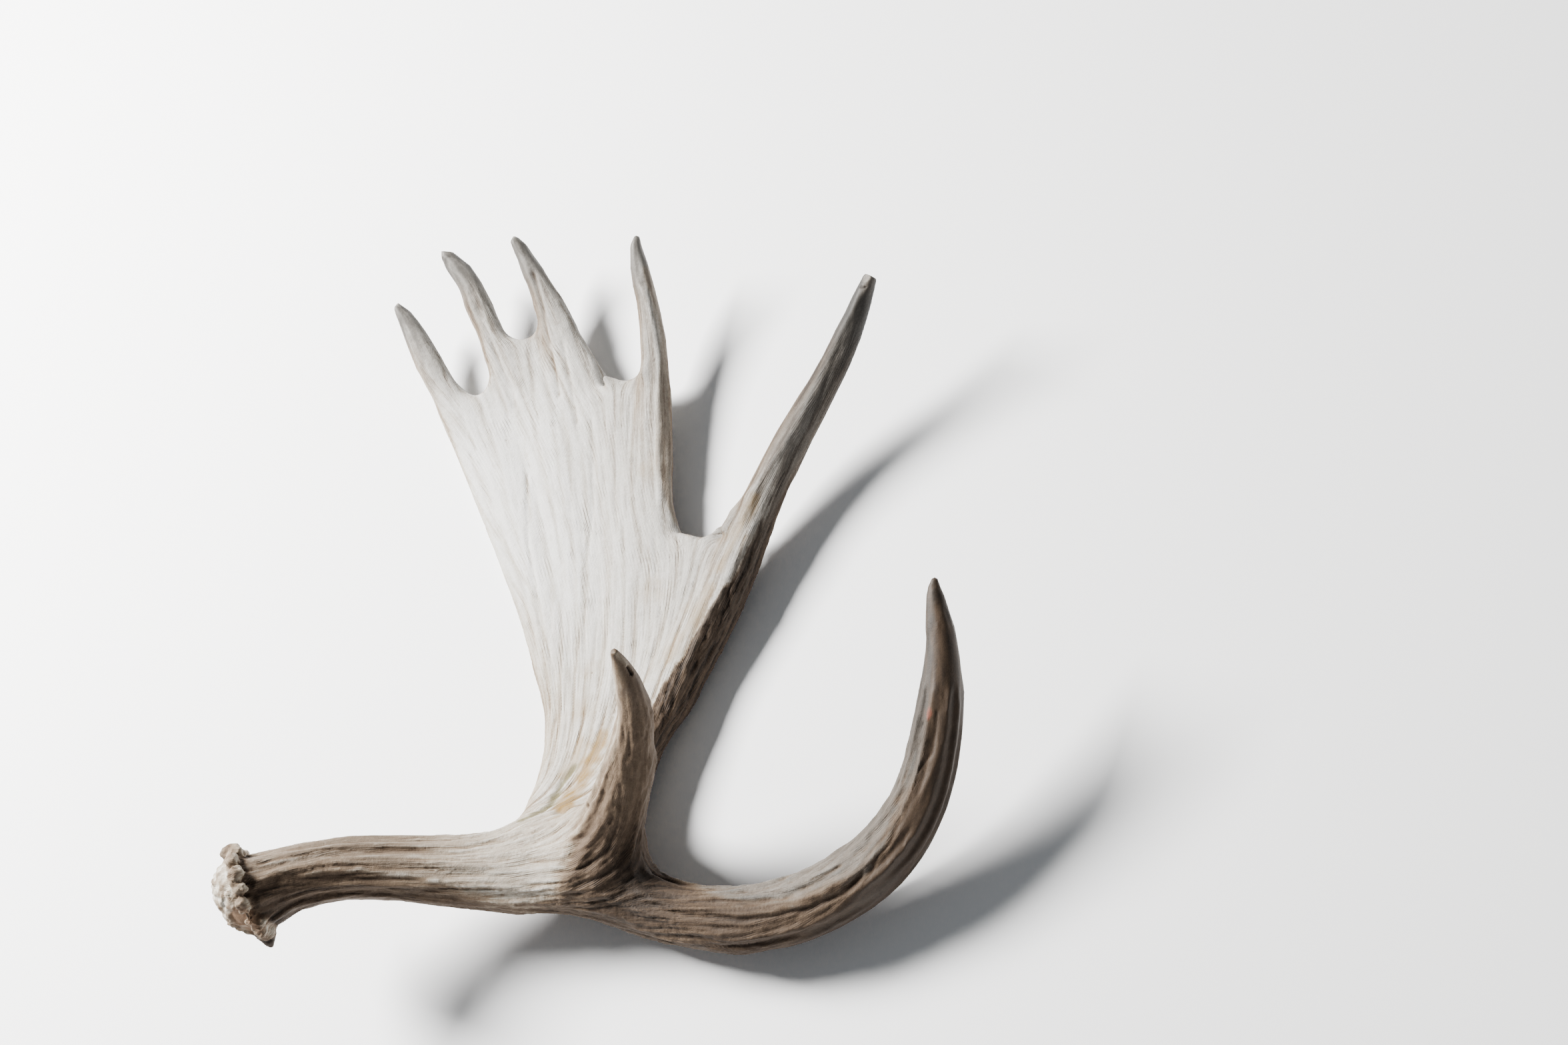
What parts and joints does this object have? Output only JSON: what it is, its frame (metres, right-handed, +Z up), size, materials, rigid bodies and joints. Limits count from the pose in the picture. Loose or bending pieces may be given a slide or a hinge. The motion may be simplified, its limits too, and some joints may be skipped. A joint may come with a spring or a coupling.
{
  "type": "moose antler",
  "caption": "Shed moose antler lying on its back: pearled burr, ridged beam, dished palm with pointed tines, a long edge tine and two curved brow tines.",
  "frame": {"origin": "bottom centre of the bounding box of the antler as it lies on its back", "axes": "+Z up, +Y the way the palm's tines point, +X from the burr towards the long brow tine"},
  "size_m": [0.6024, 0.6858, 0.2091],
  "materials": {
    "beam": "weathered bare antler, ridged, grey-tan above and dark brown below, matt with dull worn crests",
    "palm": "bleached bare antler, chalky off-white with long faint grey growth streaks, matt",
    "palm_tine": "bare antler, grey-beige with darker streaks, matt",
    "front_tine": "bare antler, brown-grey with a pale edge, slightly polished",
    "brow_tine": "bare antler, grey-brown, bark-like below, smooth and slightly polished towards the tip"
  },
  "bodies": {
    "root": {"beam": "beam", "palm": "palm", "long_palm_tine": "palm_tine", "front_brow_tine": "front_tine", "long_brow_tine": "brow_tine"}
  },
  "joints": []
}
